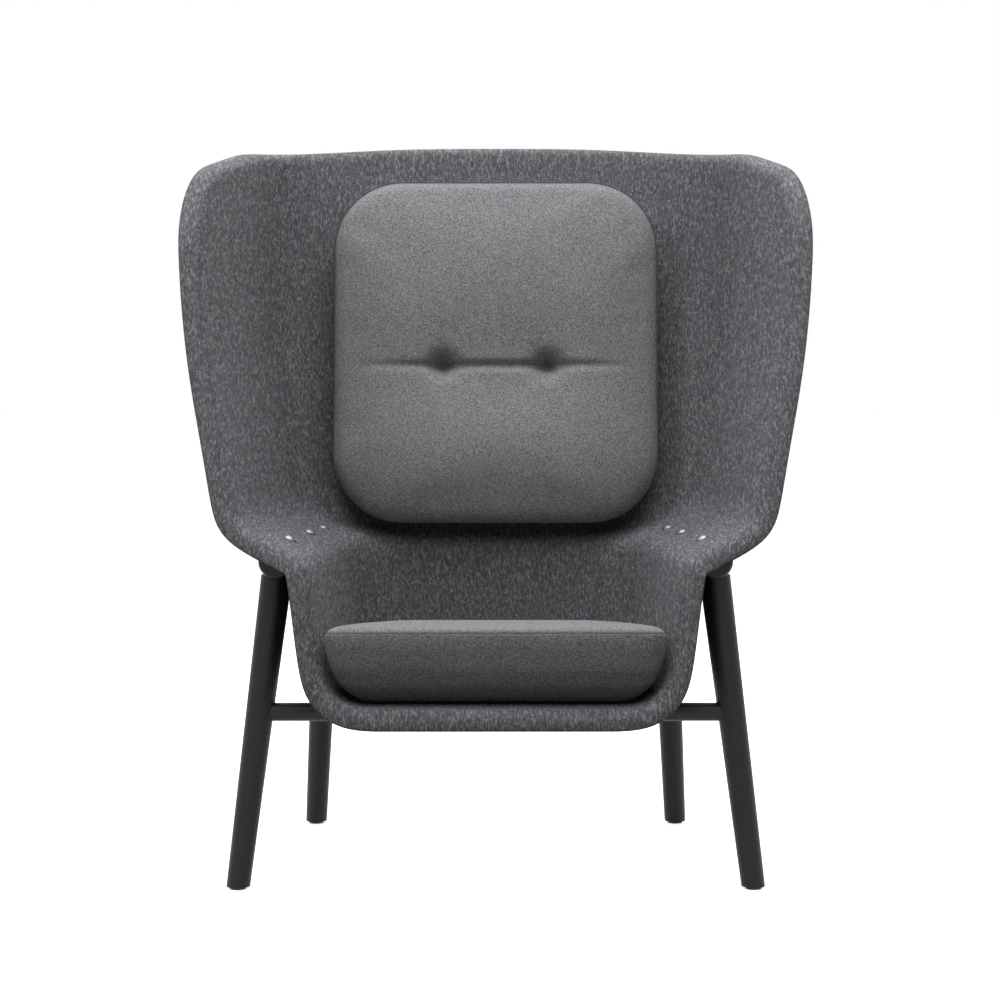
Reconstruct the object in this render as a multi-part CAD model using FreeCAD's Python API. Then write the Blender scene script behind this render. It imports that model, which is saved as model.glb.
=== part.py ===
"""Acoustic high back lounge chair: a moulded felt shell on a round timber frame.

Millimetres, +Z up, the sitter faces -Y. The model is drawn with Y = 0 at the
front feet and is then placed with its origin on the floor, under the middle of
its bounding box.
"""

import FreeCAD
import Part
import math
import os

V = FreeCAD.Vector

# Felt shell: wall and rolled lip
shell_wall = 9.0
lip_radius = 22.0
lip_turn = 88.0
lip_flat = 9.0

# Felt shell: seat pan
pan_front_y = -108.0
pan_front_z = 290.0
pan_slope = 0.5
pan_back_y = 440.0
pan_half_front = 250.0
pan_half_back = 222.0
pan_bend = 60.0
pan_bend_inset = 26.0

# Felt shell: top edge of the tub, where the wall rolls out to the ledge
tub_front_y = -60.0
tub_half_front = 278.0
tub_half_back = 226.0
tub_back_y = 456.0
tub_top_z = 503.0
tub_dip = 24.0
tub_roll = 40.0

# Felt shell: valley where the ledge turns up to the wing
ledge_front_y = -10.0
ledge_half_front = 389.0
ledge_half_back = 330.0
ledge_back_y = 496.0
ledge_rise_front = 51.0
ledge_rise_back = 34.0
ledge_bend = 62.0

# Felt shell: top of the wings and the back
top_front_y = 165.0
top_half_front = 464.0
top_half_back = 362.0
top_back_y = 586.0
top_front_z = 1069.0
top_corner_z = 1122.0
top_middle_z = 1138.0
wing_bulge = 12.0

# Felt shell: how the walls turn from the back into the wings, seen from above
back_corner_low = 120.0
back_corner_high = 165.0

# Timber frame
rail_diameter = 50.0
rail_front_y = 30.0
rail_back_y = 492.0
rail_gap = 0.3
rail_chamfer = 3.0
leg_top_diameter = 47.5
leg_foot_diameter = 35.5
leg_saddle_depth = 4.0
front_foot_x = 390.5
front_foot_y = 0.0
front_leg_inset = 33.0
rear_foot_x = 308.0
rear_foot_y = 500.0
rear_leg_inset = 30.0
cross_rail_diameter = 28.0
cross_rail_z = 264.5
tenon_diameter = 18.0
tenon_length = 26.0
joint_clearance = 0.2

# Leg bolts and glides
leg_bolt_diameter = 10.0
leg_bolt_in_leg = 70.0
leg_bolt_in_rail = 32.0
glide_diameter = 24.0
glide_height = 4.0
glide_pin_diameter = 5.0
glide_pin_length = 18.0

# Screws that hang the shell on the rails
screw_positions = (80.0, 245.0, 405.0)
screw_head_diameter = 18.0
screw_head_edge = 1.4
screw_head_height = 5.0
screw_shank_diameter = 6.0
screw_length = 38.0
screw_hole_diameter = 7.0
screw_seat_depth = 0.8

# Seat cushion
seat_front_y = -114.0
seat_depth = 552.0
seat_half_front = 256.0
seat_half_back = 216.0
seat_side_height = 110.0
seat_wedge = 7.0
seat_crown = 17.0
seat_draw_in = 36.0
seat_foot_round = 20.0
seat_front_corner = 30.0
seat_least_corner = 12.0
seat_crown_insets = (8.0, 24.0, 52.0, 90.0, 140.0)

# Back cushion
back_half_width = 275.0
back_height = 582.0
back_bottom_z = 510.0
back_thickness = 92.0
back_corner = 118.0
back_least_corner = 20.0
back_crown = 16.0
back_draw_in = 34.0
back_rear_draw_in = 52.0
back_wall_gap = 0.4
tuft_half_spacing = 87.5
tuft_below_top = 305.0
tuft_depth = 30.0
tuft_radius = 30.0
crease_depth = 9.0
crease_radius = 230.0

# Hook and loop strips and tuft ties, hidden behind the cushions
strip_width = 40.0
strip_thickness = 1.2
strip_gap = 0.3
seat_strip_length = 340.0
seat_strip_half_spacing = 110.0
back_strip_length = 220.0
back_strip_half_spacing = 120.0
tie_diameter = 3.0
tie_knot_diameter = 8.0
tie_knot_height = 4.0
toggle_diameter = 26.0
toggle_thickness = 3.0

# Pads between the front cross rail and the seat pan
pad_length = 60.0
pad_width = 20.0
pad_half_spacing = 150.0


# Plain maths for the shell


def ease(x):
    """Rise from 0 to 1 with level ends."""
    return 0.5 - 0.5 * math.cos(math.pi * x)


def mix(a, b, w):
    """Point or number a fraction w of the way from a to b."""
    return a + (b - a) * w


def unit(vector):
    """Copy of a vector with length 1."""
    copy = V(vector)
    copy.normalize()
    return copy


def pan_z(y):
    """Height of the seat pan's upper face at a depth y."""
    return pan_front_z - math.tan(math.radians(pan_slope)) * (y - pan_front_y)


class Bow:
    """A U seen from above: straight back, round corner, straight side.

    Its measure u runs from 0 at the middle of the back to 1 at the front edge.
    Without a height for the middle of the back it lies in the seat pan's plane.
    """

    back_end = 0.28
    corner_end = 0.56

    def __init__(self, front, corner, middle_z, radius):
        self.front = front
        self.corner = corner
        self.middle_z = middle_z
        side = unit(V(front.x - corner.x, front.y - corner.y, 0))
        self.turn = math.acos(side.x)
        self.radius = radius
        self.tangent = radius * math.tan(self.turn / 2)
        self.side = side

    def at(self, u):
        """Point at the measure u."""
        corner = self.corner
        start_x = corner.x - self.tangent
        run = math.hypot(self.front.x - corner.x, self.front.y - corner.y)
        z = corner.z
        if u <= self.back_end:
            x = start_x * u / self.back_end
            y = corner.y
        elif u <= self.corner_end:
            angle = self.turn * (u - self.back_end) / (self.corner_end - self.back_end)
            x = start_x + self.radius * math.sin(angle)
            y = corner.y - self.radius * (1 - math.cos(angle))
        else:
            share = (u - self.corner_end) / (1 - self.corner_end)
            reach = mix(self.tangent, run, share)
            x = corner.x + self.side.x * reach
            y = corner.y + self.side.y * reach
            z = mix(corner.z, self.front.z, share)
        if self.middle_z is None:
            z = pan_z(y)
        elif u < self.corner_end:
            z = mix(self.middle_z, corner.z, ease(u / self.corner_end) ** 2)
        return V(x, y, z)


def pan_point(x, y):
    """Point on the upper face of the seat pan."""
    return V(x, y, pan_z(y))


flat_rim = pan_bend + pan_bend_inset
bow_pan = Bow(
    pan_point(pan_half_front - flat_rim, pan_front_y),
    pan_point(pan_half_back - flat_rim, pan_back_y - flat_rim),
    None,
    back_corner_low * 0.5,
)
bow_foot = Bow(
    pan_point(pan_half_front, pan_front_y),
    pan_point(pan_half_back, pan_back_y),
    None,
    back_corner_low,
)
bow_tub = Bow(
    V(tub_half_front, tub_front_y, tub_top_z),
    V(tub_half_back, tub_back_y, tub_top_z),
    tub_top_z - tub_dip,
    back_corner_low,
)
bow_ledge = Bow(
    V(ledge_half_front, ledge_front_y, tub_top_z + ledge_rise_front),
    V(ledge_half_back, ledge_back_y, tub_top_z + ledge_rise_back),
    tub_top_z - tub_dip + ledge_rise_back,
    back_corner_low,
)
bow_top = Bow(
    V(top_half_front, top_front_y, top_front_z),
    V(top_half_back, top_back_y, top_corner_z),
    top_middle_z,
    back_corner_high,
)

# Shares of the measure v at which each bend of the wall starts and ends
bend_shares = ((0.06, 0.24), (0.34, 0.48), (0.54, 0.68))


def bend(before, corner, after, radius):
    """Arc that rounds a corner: start point, two directions and its turn."""
    ahead = unit(corner - before)
    onward = unit(after - corner)
    turn = math.acos(max(-1.0, min(1.0, ahead.dot(onward))))
    reach = radius * math.tan(turn / 2)
    sideways = unit(onward - ahead * math.cos(turn))
    return corner - ahead * reach, ahead, sideways, turn


def wall_point(u, v):
    """Point of the shell's inner face.

    v is -1 on the centre line of the pan, 0 where the pan nears its bends and
    1 at the top edge, with the bends at the shares above.
    """
    start = bow_pan.at(u)
    if v < 0:
        return V(start.x * (1 + v), start.y, start.z)
    nodes = [start, bow_foot.at(u), bow_tub.at(u), bow_ledge.at(u), bow_top.at(u)]
    radii = (pan_bend, tub_roll, ledge_bend)
    last_share = 0.0
    last_point = start
    for number, (share_in, share_out) in enumerate(bend_shares):
        corner = nodes[number + 1]
        radius = radii[number]
        entry, ahead, sideways, turn = bend(nodes[number], corner, nodes[number + 2], radius)
        if v <= share_in:
            return mix(last_point, entry, (v - last_share) / (share_in - last_share))
        if v <= share_out:
            angle = turn * (v - share_in) / (share_out - share_in)
            return entry + (ahead * math.sin(angle) + sideways * (1 - math.cos(angle))) * radius
        last_share = share_out
        last_point = entry + (ahead * math.sin(turn) + sideways * (1 - math.cos(turn))) * radius
    share = (v - last_share) / (1 - last_share)
    level = bow_top.at(min(u + 0.01, 1.0)) - bow_top.at(min(u + 0.01, 1.0) - 0.01)
    outward = unit(V(-level.y, level.x, 0))
    on_wing = min(max((u - Bow.back_end) / (Bow.corner_end - Bow.back_end), 0.0), 1.0)
    swell = wing_bulge * ease(on_wing) * 16 * (share * (1 - share)) ** 2
    return mix(last_point, nodes[4], share) + outward * swell


def wall_normal(u, v):
    """Unit vector away from the sitter."""
    if v < 0.03:
        tilt = math.radians(pan_slope)
        return V(0, -math.sin(tilt), -math.cos(tilt))
    step = 0.002
    low_u = max(u - step, 0.0)
    high_u = min(u + step, 1.0)
    high_v = min(v + step, 1.0)
    low_v = high_v - 2 * step
    across = wall_point(high_u, v) - wall_point(low_u, v)
    upward = wall_point(u, high_v) - wall_point(u, low_v)
    normal = unit(upward.cross(across))
    if u == 0.0:
        normal = unit(V(0, normal.y, normal.z))
    return normal


# The rim runs in the measures u and v from the front of the pan, up the wing,
# round its top corner and back along the top
corner_v = 0.93
corner_u = 0.82
pan_edge_u = 0.965
fan_u = 0.88
wing_u = 0.74
turn_u = 0.64
pan_edge_v = -0.42


def rim_stations():
    """Pairs of measures: where a rib of the wall starts, and where it ends."""
    stations = []
    for i in range(4):
        w = i / 4
        stations.append(((pan_edge_u, mix(-1, pan_edge_v, w)), (1.0, mix(-1, 0, w))))
    for i in range(13):
        w = i / 13
        a = w * math.pi / 2
        start_u = mix(pan_edge_u, fan_u, 1 - math.cos(a))
        stations.append(((start_u, mix(pan_edge_v, 0, math.sin(a))), (1.0, mix(0, 0.68, w))))
    for i in range(5):
        w = i / 5
        stations.append(((mix(fan_u, wing_u, w), 0.0), (1.0, mix(0.68, corner_v, w))))
    for i in range(6):
        w = i / 6
        a = w * math.pi / 2
        end_u = mix(corner_u, 1.0, math.cos(a))
        end_v = mix(corner_v, 1.0, math.sin(a))
        stations.append(((mix(wing_u, turn_u, w), 0.0), (end_u, end_v)))
    for i in range(11):
        w = i / 10
        stations.append(((mix(turn_u, 0, w), 0.0), (mix(corner_u, 0, w), 1.0)))
    return stations


def rim_end(stations, number):
    """Rim point of a station, mirrored past either end of the list."""
    last = len(stations) - 1
    mirrored = number < 0 or number > last
    if number < 0:
        number = -number
    if number > last:
        number = 2 * last - number
    u, v = stations[number][1]
    point = wall_point(u, v)
    if mirrored:
        point.x = -point.x
    return point


rib_steps = 20
lip_steps = 4


def shell_ribs():
    """Rows of points on the inner and the outer face, one pair for each rib."""
    stations = rim_stations()
    inner_rows = []
    outer_rows = []
    for number, ((u0, v0), (u1, v1)) in enumerate(stations):
        inner = []
        outer = []
        for j in range(rib_steps + 1):
            w = j / rib_steps
            u = mix(u0, u1, w)
            v = mix(v0, v1, w)
            point = wall_point(u, v)
            normal = wall_normal(u, v)
            inner.append(point)
            outer.append(point + normal * shell_wall)
        along = unit(rim_end(stations, number + 1) - rim_end(stations, number - 1))
        away = unit(normal.cross(along))
        centre = inner[-1] + normal * lip_radius
        for j in range(1, lip_steps + 1):
            angle = math.radians(lip_turn) * j / lip_steps
            arm = away * math.sin(angle) - normal * math.cos(angle)
            inner.append(centre + arm * lip_radius)
            outer.append(centre + arm * (lip_radius - shell_wall))
        onward = away * math.cos(angle) + normal * math.sin(angle)
        for j in (0.5, 1.0):
            inner.append(centre + arm * lip_radius + onward * lip_flat * j)
            outer.append(centre + arm * (lip_radius - shell_wall) + onward * lip_flat * j)
        if number == 0 or number == len(stations) - 1:
            for point in inner + outer:
                point.x = 0.0
        inner_rows.append(inner)
        outer_rows.append(outer)
    return inner_rows, outer_rows


def smooth_face(rows):
    """Cubic surface guided by rows of points, held at its four edges."""
    counts = []
    for size in (len(rows), len(rows[0])):
        spans = size - 3
        counts.append([4] + [1] * (spans - 1) + [4])
    surface = Part.BSplineSurface()
    knots = [[float(k) for k in range(len(c))] for c in counts]
    surface.buildFromPolesMultsKnots(rows, counts[0], counts[1], knots[0], knots[1], False, False, 3, 3)
    return surface.toShape()


def edge_through(face, first, last):
    """The edge of a face that ends at two given points."""
    for edge in face.Edges:
        ends = [vertex.Point for vertex in edge.Vertexes]
        if min(p.distanceToPoint(first) for p in ends) < 0.001:
            if min(p.distanceToPoint(last) for p in ends) < 0.001:
                return edge
    raise ValueError("no edge joins the two points")


def mirror_x(shape):
    """Mirror image across the chair's middle plane."""
    return shape.mirror(V(0, 0, 0), V(1, 0, 0))


def make_shell_blank():
    """The moulded shell, before its screw holes are cut."""
    inner_rows, outer_rows = shell_ribs()
    half = []
    pans = []
    rims = []
    for rows in (inner_rows, outer_rows):
        face = smooth_face(rows)
        half.append(face)
        pan_edge = edge_through(face, rows[0][0], rows[-1][0])
        pans.append(Part.Face(Part.Wire([pan_edge, mirror_x(pan_edge)])))
        rims.append(edge_through(face, rows[0][-1], rows[-1][-1]))
    half.append(Part.makeRuledSurface(rims[0], rims[1]))
    faces = half + [mirror_x(face) for face in half] + pans
    shell = Part.makeShell(faces)
    shell.sewShape()
    solid = Part.makeSolid(shell)
    if solid.Volume < 0:
        solid.reverse()
    return solid


# Frame geometry that hangs on the shell's ledge


ledge_share = 0.51


def ledge_at(y):
    """Point and outward normal of the ledge's middle line at a depth y."""
    low, high = Bow.corner_end, 1.0
    for _ in range(40):
        middle = (low + high) / 2
        if wall_point(middle, ledge_share).y > y:
            low = middle
        else:
            high = middle
    return wall_point(low, ledge_share), wall_normal(low, ledge_share)


def rail_axis_point(y):
    """Point of the right rail's axis, tangent under the ledge."""
    ends = []
    for depth in (screw_positions[0], screw_positions[-1]):
        point, normal = ledge_at(depth)
        ends.append(point + normal * (shell_wall + rail_gap + rail_diameter / 2))
    share = (y - ends[0].y) / (ends[1].y - ends[0].y)
    return mix(ends[0], ends[1], share)


def rod(start, end, diameter, end_diameter=None):
    """Round bar or taper between two points."""
    direction = end - start
    if end_diameter is None or end_diameter == diameter:
        return Part.makeCylinder(diameter / 2, direction.Length, start, direction)
    return Part.makeCone(diameter / 2, end_diameter / 2, direction.Length, start, direction)


def make_side_rail():
    """Right side rail with its two chamfered ends."""
    start = rail_axis_point(rail_front_y)
    end = rail_axis_point(rail_back_y)
    rail = rod(start, end, rail_diameter)
    rims = [edge for edge in rail.Edges if edge.Curve.TypeId == "Part::GeomCircle"]
    return rail.makeChamfer(rail_chamfer, rims)


class Leg:
    """One right-hand leg: a straight taper from under the rail to the floor."""

    def __init__(self, foot_x, foot_y, top_y):
        self.rail_point = rail_axis_point(top_y)
        self.foot = V(foot_x, foot_y, 0)
        self.axis = unit(self.rail_point - self.foot)
        self.top_z = self.rail_point.z - rail_diameter / 2 + leg_saddle_depth

    def at_height(self, z):
        """Point of the leg's axis at a height."""
        return self.foot + self.axis * (z / self.axis.z)

    def diameter_at(self, z):
        """Diameter of the taper at a height."""
        return mix(leg_foot_diameter, leg_top_diameter, z / self.top_z)

    def solid(self):
        """Taper cut level at both ends, saddled under the rail."""
        extra = 20.0
        low = self.at_height(glide_height - extra)
        high = self.at_height(self.top_z + extra)
        bar = rod(low, high, self.diameter_at(glide_height - extra), self.diameter_at(self.top_z + extra))
        reach = 200.0
        between = Part.makeBox(
            2 * reach, 2 * reach, self.top_z - glide_height,
            V(self.foot.x - reach, self.foot.y - reach, glide_height),
        )
        bar = bar.common(between)
        saddle = rod(
            rail_axis_point(self.rail_point.y - 60),
            rail_axis_point(self.rail_point.y + 60),
            rail_diameter + 2 * joint_clearance,
        )
        return bar.cut(saddle)

    def bolt(self, clearance=0.0):
        """Bolt along the leg's axis, up into the rail."""
        start = self.at_height(self.top_z - leg_bolt_in_leg)
        end = self.at_height(self.top_z + leg_bolt_in_rail)
        return rod(start, end, leg_bolt_diameter + 2 * clearance)

    def glide(self, clearance=0.0):
        """Round glide under the foot, with its pin."""
        base = self.at_height(0)
        disc = Part.makeCylinder(glide_diameter / 2, glide_height, base)
        pin_start = self.at_height(glide_height)
        pin = rod(
            pin_start - self.axis,
            pin_start + self.axis * (glide_pin_length + clearance),
            glide_pin_diameter + 2 * clearance,
        )
        return disc.fuse(pin)


front_leg = Leg(front_foot_x, front_foot_y, rail_front_y + front_leg_inset)
rear_leg = Leg(rear_foot_x, rear_foot_y, rail_back_y - rear_leg_inset)


def cross_rail(leg):
    """Full-width cross rail between the two legs of a pair, with tenons."""
    meet = leg.at_height(cross_rail_z)
    left = V(-meet.x, meet.y, meet.z)
    body = rod(left, meet, cross_rail_diameter)
    core = leg.solid()
    for side in (core, mirror_x(core)):
        body = body.cut(side)
    body = max(body.Solids, key=lambda s: s.Volume)
    reach = tenon_length - leg.diameter_at(cross_rail_z) / 2
    stop = V(reach - joint_clearance, 0, 0)
    tenon = rod(left - stop, meet + stop, tenon_diameter)
    return body.fuse(tenon).removeSplitter()


def mortise(leg):
    """Round mortise for a cross rail's tenon in the right leg."""
    meet = leg.at_height(cross_rail_z)
    reach = tenon_length - leg.diameter_at(cross_rail_z) / 2
    return rod(V(0, meet.y, meet.z), meet + V(reach, 0, 0), tenon_diameter + 2 * joint_clearance)


def make_leg(leg):
    """Finished right-hand leg with its bolt hole, mortise and glide hole."""
    solid = leg.solid()
    solid = solid.cut(leg.bolt(joint_clearance))
    solid = solid.cut(mortise(leg))
    return solid.cut(leg.glide(joint_clearance))


# Screws through the ledge


class LedgeScrew:
    """One wide-headed screw through the ledge into the right rail."""

    def __init__(self, y):
        self.point, self.down = ledge_at(y)

    def along(self, distance):
        """Point on the screw's axis, below the ledge's upper face."""
        return self.point + self.down * distance

    def screw(self):
        """Low domed head with a flange edge, on a plain shank."""
        half = screw_head_diameter / 2
        shank = screw_shank_diameter / 2
        rise = screw_head_height - screw_head_edge
        ball = (half ** 2 + rise ** 2) / (2 * rise)
        slope = math.asin(half / ball) / 2
        middle = V(ball * math.sin(slope), 0, screw_head_height - ball * (1 - math.cos(slope)))
        rim = V(half, 0, screw_head_edge)
        top = V(0, 0, screw_head_height)
        straight = [
            top, V(0, 0, -screw_length), V(shank, 0, -screw_length), V(shank, 0, 0), V(half, 0, 0), rim,
        ]
        edges = [Part.LineSegment(a, b).toShape() for a, b in zip(straight, straight[1:])]
        edges.append(Part.Arc(rim, middle, top).toShape())
        shape = Part.Face(Part.Wire(edges)).revolve(V(0, 0, 0), V(0, 0, 1), 360)
        shape.Placement = FreeCAD.Placement(
            self.along(screw_seat_depth), FreeCAD.Rotation(V(0, 0, 1), self.down * -1)
        )
        return shape

    def hole(self):
        """Clearance hole through the wall, with the head's seat pressed in."""
        past = shell_wall + rail_gap
        bore = rod(self.along(0), self.along(past), screw_hole_diameter)
        seat = rod(
            self.along(screw_seat_depth),
            self.along(-screw_head_height),
            screw_head_diameter + 2 * joint_clearance,
        )
        return bore.fuse(seat)

    def pilot(self):
        """Hole for the shank in the top of the rail."""
        deep = screw_seat_depth + screw_length + joint_clearance
        return rod(self.along(0), self.along(deep), screw_shank_diameter + 2 * joint_clearance)


ledge_screws = [LedgeScrew(y) for y in screw_positions]


def make_drilled_rail():
    """Right side rail with holes for the ledge screws and the leg bolts."""
    rail = make_side_rail()
    for screw in ledge_screws:
        rail = rail.cut(screw.pilot())
    for leg in (front_leg, rear_leg):
        rail = rail.cut(leg.bolt(joint_clearance))
    return rail


# Cushions


def round_wire(corners, radii):
    """Closed wire of lines and tangent arcs round a list of corners."""
    edges = []
    count = len(corners)
    cuts = []
    for i in range(count):
        before = unit(corners[i - 1] - corners[i])
        after = unit(corners[(i + 1) % count] - corners[i])
        half = math.acos(before.dot(after)) / 2
        reach = radii[i] / math.tan(half)
        middle = unit(before + after) * (radii[i] / math.sin(half) - radii[i])
        cuts.append((corners[i] + before * reach, corners[i] + middle, corners[i] + after * reach))
    for i in range(count):
        start, middle, end = cuts[i]
        edges.append(Part.Arc(start, middle, end).toShape())
        edges.append(Part.LineSegment(end, cuts[(i + 1) % count][0]).toShape())
    return Part.Wire(edges)


seat_lift = (2 * strip_thickness + strip_gap) / math.cos(math.radians(pan_slope))


def seat_section(share, inset, rise=0.0):
    """Outline of the seat cushion a share of the way up its wedged side."""
    front = seat_front_y + inset
    back = seat_front_y + seat_depth - inset
    half_front = seat_half_front - inset
    half_back = seat_half_back - inset
    corners = []
    for x, y in ((-half_front, front), (half_front, front), (half_back, back), (-half_back, back)):
        side = seat_side_height - math.tan(math.radians(seat_wedge)) * (y - seat_front_y)
        corners.append(V(x, y, pan_z(y) + seat_lift + side * share + rise))
    front_radius = max(seat_front_corner - inset * 0.3, seat_least_corner)
    back_radius = max(back_corner_low - inset * 0.7, back_least_corner)
    return round_wire(corners, (front_radius, front_radius, back_radius, back_radius))


def make_seat_cushion():
    """Wedge cushion with drawn-in sides, a seam and a crowned top."""
    lower = [
        seat_section(0, seat_draw_in + seat_foot_round),
        seat_section(0.1, seat_draw_in + seat_foot_round / 3),
        seat_section(0.4, seat_draw_in * 0.33),
        seat_section(0.75, seat_draw_in * 0.1),
        seat_section(1, 0),
    ]
    upper = [seat_section(1, 0)]
    for inset, share in zip(seat_crown_insets, (0.36, 0.62, 0.83, 0.95, 1.0)):
        upper.append(seat_section(1, inset, seat_crown * share))
    return Part.makeLoft(lower, True, True).fuse(Part.makeLoft(upper, True, True)).removeSplitter()


class BackFrame:
    """Axes of the back cushion, parallel to the flat middle of the back wall."""

    def __init__(self):
        low = wall_point(0, 0.75)
        high = wall_point(0, 0.98)
        self.up = unit(high - low)
        self.back = V(0, self.up.z, -self.up.y)
        foot = low + self.up * ((back_bottom_z - low.z) / self.up.z)
        self.wall = foot - self.back * back_wall_gap
        self.rear = 2 * strip_thickness + strip_gap

    def at(self, x, z, forward):
        """Point at a side, a height along the back and a reach off the wall."""
        return V(x, 0, 0) + self.wall + self.up * z - self.back * forward

    def section(self, forward, inset):
        """Outline of the cushion, a reach in front of its rear face."""
        low, high = inset, back_height - inset
        half = back_half_width - inset
        reach = self.rear + forward
        corners = [self.at(x, z, reach) for x, z in ((-half, low), (half, low), (half, high), (-half, high))]
        return round_wire(corners, (max(back_corner - inset * 0.8, back_least_corner),) * 4)


back_frame = BackFrame()
tuft_level = back_height - tuft_below_top


def tuft_bore(x):
    """Bore for a tie, with the dimple in front and a toggle pocket behind."""
    rear = back_frame.rear
    front = rear + back_thickness
    tip = back_frame.at(x, tuft_level, front - tuft_depth)
    mouth = back_frame.at(x, tuft_level, front + 4)
    dimple = rod(tip, mouth, tie_knot_diameter + 4, tuft_radius * 2)
    bore = rod(back_frame.at(x, tuft_level, rear - 1), tip, tie_diameter + 2 * joint_clearance)
    pocket = rod(
        back_frame.at(x, tuft_level, rear - 1),
        back_frame.at(x, tuft_level, rear + toggle_thickness + joint_clearance),
        toggle_diameter + 2 * joint_clearance,
    )
    return dimple.fuse(bore).fuse(pocket)


def make_back_cushion():
    """Back cushion with a crowned front, two sewn tufts and a crease."""
    thick = back_thickness
    seam = thick * 0.5
    rear = [
        back_frame.section(0, back_rear_draw_in),
        back_frame.section(thick * 0.2, back_rear_draw_in * 0.4),
        back_frame.section(seam, 0),
    ]
    front = [back_frame.section(seam, 0), back_frame.section(thick * 0.66, back_draw_in * 0.12)]
    edge = thick - back_crown
    for inset, rise in ((0.5, 0), (1.0, 0.46), (2.0, 0.78), (3.6, 1.0)):
        front.append(back_frame.section(edge + back_crown * rise, back_draw_in * inset))
    body = Part.makeLoft(rear, True, True).fuse(Part.makeLoft(front, True, True))
    reach = back_frame.rear + thick + crease_radius - crease_depth
    left = back_frame.at(-back_half_width, tuft_level, reach)
    right = back_frame.at(back_half_width, tuft_level, reach)
    body = body.cut(rod(left, right, crease_radius * 2))
    for x in (-tuft_half_spacing, tuft_half_spacing):
        body = body.cut(tuft_bore(x))
    return body.removeSplitter()


def tuft_tie(x):
    """Cord that pulls a tuft in, with its knot in the dimple."""
    start = back_frame.at(x, tuft_level, back_frame.rear + toggle_thickness)
    dimple = back_frame.rear + back_thickness - tuft_depth
    end = back_frame.at(x, tuft_level, dimple)
    knot = rod(end, back_frame.at(x, tuft_level, dimple + tie_knot_height), tie_knot_diameter)
    return rod(start, end, tie_diameter).fuse(knot)


def tuft_toggle(x):
    """Disc behind the cushion that a tie is knotted to."""
    start = back_frame.at(x, tuft_level, back_frame.rear)
    return rod(start, back_frame.at(x, tuft_level, back_frame.rear + toggle_thickness), toggle_diameter)


def slab(corner, along, across, up):
    """Box from one corner and its three edge vectors."""
    face = Part.Face(Part.makePolygon([corner, corner + along, corner + along + across, corner + across, corner]))
    return face.extrude(up)


def seat_strip(level):
    """Strip on the right of the pan, its underside a height over the pan."""
    tilt = math.radians(pan_slope)
    back = V(0, math.cos(tilt), -math.sin(tilt))
    up = V(0, math.sin(tilt), math.cos(tilt))
    start_y = seat_front_y + (seat_depth - seat_strip_length) / 2
    corner = pan_point(seat_strip_half_spacing - strip_width / 2, start_y) + up * level
    return slab(corner, V(strip_width, 0, 0), back * seat_strip_length, up * strip_thickness)


def back_strip(reach):
    """Strip on the right of the back wall, a reach in front of the wall."""
    bottom = (back_height - back_strip_length) / 2
    corner = back_frame.at(back_strip_half_spacing - strip_width / 2, bottom, reach)
    along = back_frame.up * back_strip_length
    return slab(corner, V(strip_width, 0, 0), along, back_frame.back * -strip_thickness)


def pan_pad():
    """Pad on the right between the front cross rail and the seat pan."""
    meet = front_leg.at_height(cross_rail_z)
    corner = V(pad_half_spacing - pad_length / 2, meet.y - pad_width / 2, meet.z)
    top = pan_z(meet.y + pad_width / 2) - shell_wall / math.cos(math.radians(pan_slope)) - joint_clearance
    pad = Part.makeBox(pad_length, pad_width, top - meet.z, corner)
    bar = rod(meet - V(2 * meet.x, 0, 0), meet, cross_rail_diameter + 2 * joint_clearance)
    return pad.cut(bar)


# Assembly


def pair(shape):
    """A right-hand shape and its mirror image as one group."""
    return Part.makeCompound([shape, mirror_x(shape)])


def build_all():
    """All sub-parts by name, still with Y = 0 at the front feet."""
    shell = make_shell_blank()
    for screw in ledge_screws:
        shell = shell.cut(screw.hole())
        shell = shell.cut(mirror_x(screw.hole()))
    rail = make_drilled_rail()
    parts = {
        "felt_shell": shell,
        "seat_cushion": make_seat_cushion(),
        "back_cushion": make_back_cushion(),
        "right_side_rail": rail,
        "left_side_rail": mirror_x(rail),
        "front_cross_rail": cross_rail(front_leg),
        "rear_cross_rail": cross_rail(rear_leg),
    }
    for place, leg in (("front", front_leg), ("rear", rear_leg)):
        solid = make_leg(leg)
        glide = leg.glide()
        parts["right_" + place + "_leg"] = solid
        parts["left_" + place + "_leg"] = mirror_x(solid)
        parts["right_" + place + "_glide"] = glide
        parts["left_" + place + "_glide"] = mirror_x(glide)
    hook_reach = strip_thickness + strip_gap
    parts["seat_hook_strips"] = pair(seat_strip(0))
    parts["seat_loop_strips"] = pair(seat_strip(hook_reach))
    parts["back_hook_strips"] = pair(back_strip(0))
    parts["back_loop_strips"] = pair(back_strip(hook_reach))
    parts["tuft_ties"] = pair(tuft_tie(tuft_half_spacing))
    parts["tuft_toggles"] = pair(tuft_toggle(tuft_half_spacing))
    parts["pan_pads"] = pair(pan_pad())
    parts["leg_bolts"] = Part.makeCompound([pair(leg.bolt()) for leg in (front_leg, rear_leg)])
    parts["ledge_screws"] = Part.makeCompound([pair(s.screw()) for s in ledge_screws])
    return parts


def main():
    """Build every sub-part, set the origin and write one file for each."""
    os.makedirs("parts", exist_ok=True)
    parts = build_all()
    box = parts["felt_shell"].BoundBox
    to_origin = V(0, -(box.YMin + box.YMax) / 2, 0)
    for name, shape in parts.items():
        placed = shape.translated(to_origin)
        placed.exportStep("parts/" + name + ".step")
        size = placed.BoundBox
        print(name, len(placed.Solids), placed.isValid(), round(placed.Volume / 1000, 1),
              [round(c, 1) for c in (size.XMin, size.XMax, size.YMin, size.YMax, size.ZMin, size.ZMax)])
    print("moved by", round(to_origin.y, 2))


main()
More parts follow.
